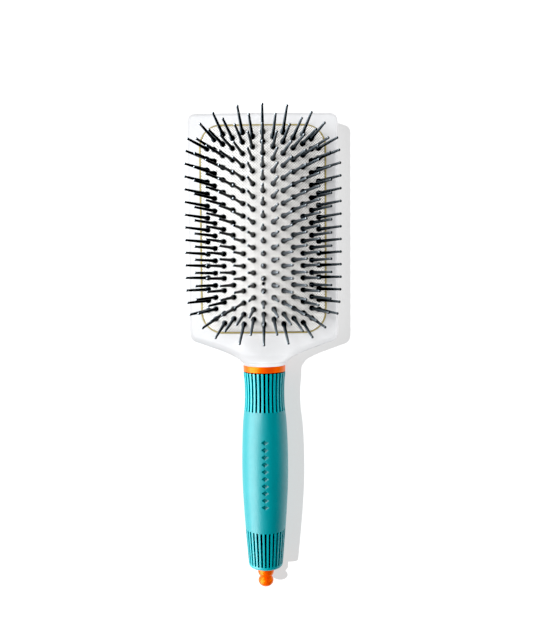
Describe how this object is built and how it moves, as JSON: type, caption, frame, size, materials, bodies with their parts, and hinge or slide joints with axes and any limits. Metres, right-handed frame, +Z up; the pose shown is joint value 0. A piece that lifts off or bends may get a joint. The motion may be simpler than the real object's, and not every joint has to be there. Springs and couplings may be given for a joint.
{
  "type": "paddle hair brush",
  "caption": "Cushioned paddle hair brush with splayed ball-tipped pins, a ribbed soft-grip handle and a pull-out sectioning pick.",
  "frame": {"origin": "middle of the base: halfway along the whole length and across the width, at the head's flat back", "axes": "+X across the brush, +Y along it from the handle's end to the head's tip, +Z up out of the back towards the pins"},
  "size_m": [0.08, 0.259, 0.0469],
  "materials": {
    "head_plastic": "semi-gloss white moulded plastic",
    "trim_line": "thin satin gold line",
    "cushion_rubber": "warm off-white rubber with a fine diamond texture",
    "pin_nylon": "near-black nylon, slightly glossy",
    "accent_plastic": "glossy orange plastic",
    "core_plastic": "satin black plastic",
    "grip_rubber": "matt turquoise soft-touch rubber"
  },
  "bodies": {
    "brush": {"head_shell": "head_plastic", "cushion_trim": "trim_line", "cushion_pad": "cushion_rubber", "ferrule_ring": "accent_plastic", "handle_core": "core_plastic", "grip_sleeve": "grip_rubber", "pick_guide": "core_plastic"},
    "pick": {"pick_rod": "core_plastic", "pick_knob": "accent_plastic"},
    "pins_middle": {"pins_centre": "pin_nylon", "pins_left_1": "pin_nylon", "pins_right_1": "pin_nylon"},
    "pins_columns_2": {"pins_left_2": "pin_nylon", "pins_right_2": "pin_nylon"},
    "pins_columns_3": {"pins_left_3": "pin_nylon", "pins_right_3": "pin_nylon"},
    "pins_columns_4": {"pins_left_4": "pin_nylon", "pins_right_4": "pin_nylon"},
    "pins_columns_5": {"pins_left_5": "pin_nylon", "pins_right_5": "pin_nylon"},
    "pins_columns_6": {"pins_left_6": "pin_nylon", "pins_right_6": "pin_nylon"},
    "pins_ends": {"pins_tip_row": "pin_nylon", "pins_neck_row": "pin_nylon"}
  },
  "joints": [
    {"name": "pick_pull", "type": "slide", "parent": "brush", "child": "pick", "axis": [0, -1, 0], "range_m": [0, 0.06]},
    {"name": "cushion_press", "type": "slide", "parent": "brush", "child": "pins_middle", "axis": [0, 0, 1], "range_m": [-0.0035, 0], "stiffness_N_per_m": 800, "springref_m": 0.0005, "deforming": ["cushion_pad"]},
    {"name": "press_columns_2", "type": "slide", "parent": "brush", "child": "pins_columns_2", "axis": [0, 0, 1], "range_m": [-0.00315, 0]},
    {"name": "press_columns_3", "type": "slide", "parent": "brush", "child": "pins_columns_3", "axis": [0, 0, 1], "range_m": [-0.00269, 0]},
    {"name": "press_columns_4", "type": "slide", "parent": "brush", "child": "pins_columns_4", "axis": [0, 0, 1], "range_m": [-0.0021, 0]},
    {"name": "press_columns_5", "type": "slide", "parent": "brush", "child": "pins_columns_5", "axis": [0, 0, 1], "range_m": [-0.00144, 0]},
    {"name": "press_columns_6", "type": "slide", "parent": "brush", "child": "pins_columns_6", "axis": [0, 0, 1], "range_m": [-0.00077, 0]},
    {"name": "press_ends", "type": "slide", "parent": "brush", "child": "pins_ends", "axis": [0, 0, 1], "range_m": [-0.00231, 0]}
  ],
  "couplings": [
    {"joint": "press_columns_2", "follows": "cushion_press", "ratio": 0.9},
    {"joint": "press_columns_3", "follows": "cushion_press", "ratio": 0.77},
    {"joint": "press_columns_4", "follows": "cushion_press", "ratio": 0.6},
    {"joint": "press_columns_5", "follows": "cushion_press", "ratio": 0.41},
    {"joint": "press_columns_6", "follows": "cushion_press", "ratio": 0.22},
    {"joint": "press_ends", "follows": "cushion_press", "ratio": 0.66}
  ]
}
